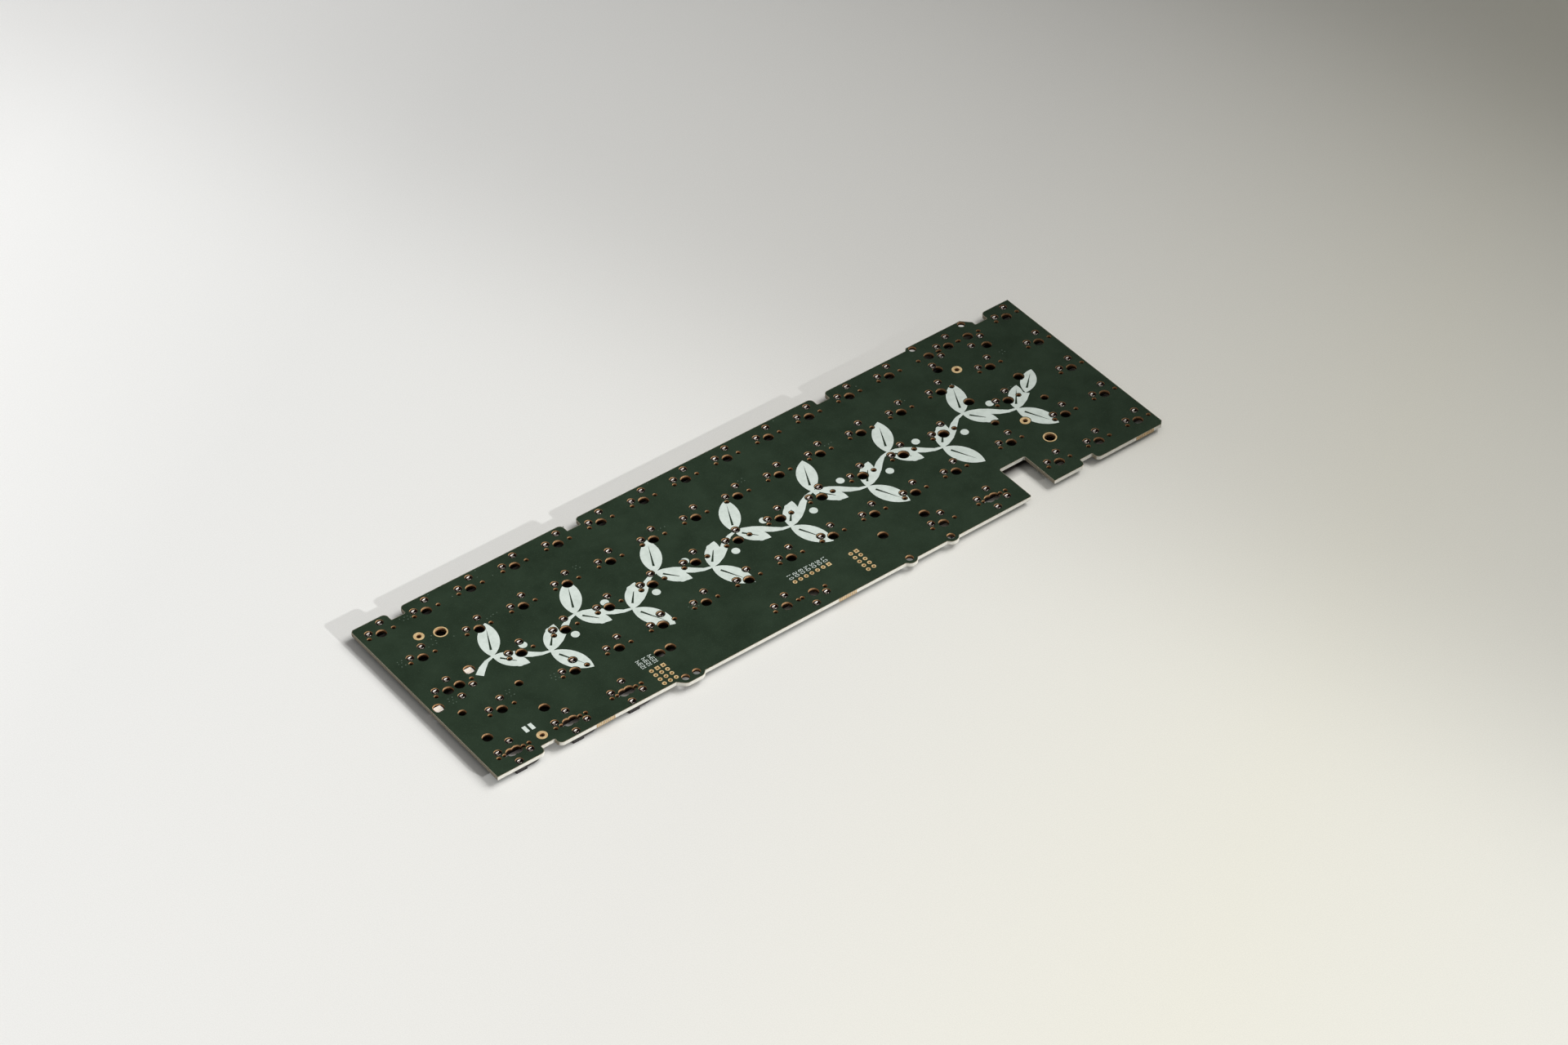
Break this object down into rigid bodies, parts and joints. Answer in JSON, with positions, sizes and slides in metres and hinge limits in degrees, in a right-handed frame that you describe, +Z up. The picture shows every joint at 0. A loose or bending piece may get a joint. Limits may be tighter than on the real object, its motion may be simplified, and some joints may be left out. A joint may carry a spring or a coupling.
{
  "type": "keyboard circuit board",
  "caption": "Long flat keyboard circuit board, drilled for plug-in key switches, with a socket under every switch place.",
  "frame": {"origin": "middle of the outline, on the surface that the sockets stand on", "axes": "+X along the key rows to the right, +Y towards the back row, +Z up out of the switch side"},
  "size_m": [0.3008, 0.095, 0.0034],
  "materials": {
    "solder_mask": "satin dark green solder mask over glass-fibre board",
    "white_ink": "matt white printed ink",
    "gold_plating": "pale gold plating",
    "socket_nylon": "black moulded nylon",
    "contact_metal": "bright tinned sheet metal",
    "tinned_lead": "tinned metal",
    "chip_epoxy": "black moulded epoxy",
    "crystal_steel": "plated steel lid",
    "ceramic_base": "ceramic",
    "fuse_body": "green polymer",
    "capacitor_ceramic": "tan ceramic",
    "resistor_film": "black glazed film",
    "connector_nylon": "cream nylon",
    "lamp_body": "white moulded resin",
    "lamp_lens": "pale yellow resin"
  },
  "bodies": {
    "root": {"circuit_board": "solder_mask", "vine_print": "white_ink", "mark_bars": "white_ink", "small_mount_rings": "gold_plating", "large_mount_rings": "gold_plating", "left_header_pads": "gold_plating", "middle_header_pads": "gold_plating", "right_header_pads": "gold_plating", "sockets_row_1": "socket_nylon", "sockets_row_2": "socket_nylon", "sockets_row_3": "socket_nylon", "sockets_row_4": "socket_nylon", "sockets_row_5": "socket_nylon", "socket_contacts_row_1": "contact_metal", "socket_contacts_row_2": "contact_metal", "socket_contacts_row_3": "contact_metal", "socket_contacts_row_4": "contact_metal", "socket_contacts_row_5": "contact_metal", "diode_bodies_row_1": "chip_epoxy", "diode_bodies_row_2": "chip_epoxy", "diode_bodies_row_3": "chip_epoxy", "diode_bodies_row_4": "chip_epoxy", "diode_bodies_row_5": "chip_epoxy", "diode_leads_row_1": "tinned_lead", "diode_leads_row_2": "tinned_lead", "diode_leads_row_3": "tinned_lead", "diode_leads_row_4": "tinned_lead", "diode_leads_row_5": "tinned_lead", "controller_body": "chip_epoxy", "controller_leads": "tinned_lead", "crystal_base": "ceramic_base", "crystal_lid": "crystal_steel", "regulator_body": "chip_epoxy", "regulator_leads": "tinned_lead", "surge_chip_body": "chip_epoxy", "surge_chip_leads": "tinned_lead", "fuse_body": "fuse_body", "fuse_ends": "tinned_lead", "capacitor_bodies": "capacitor_ceramic", "capacitor_ends": "tinned_lead", "resistor_bodies": "resistor_film", "resistor_ends": "tinned_lead", "connector_housing": "connector_nylon", "connector_pins": "gold_plating", "connector_hold_downs": "tinned_lead", "lamp_bodies": "lamp_body", "lamp_lenses": "lamp_lens", "lamp_leads": "tinned_lead"}
  },
  "joints": []
}
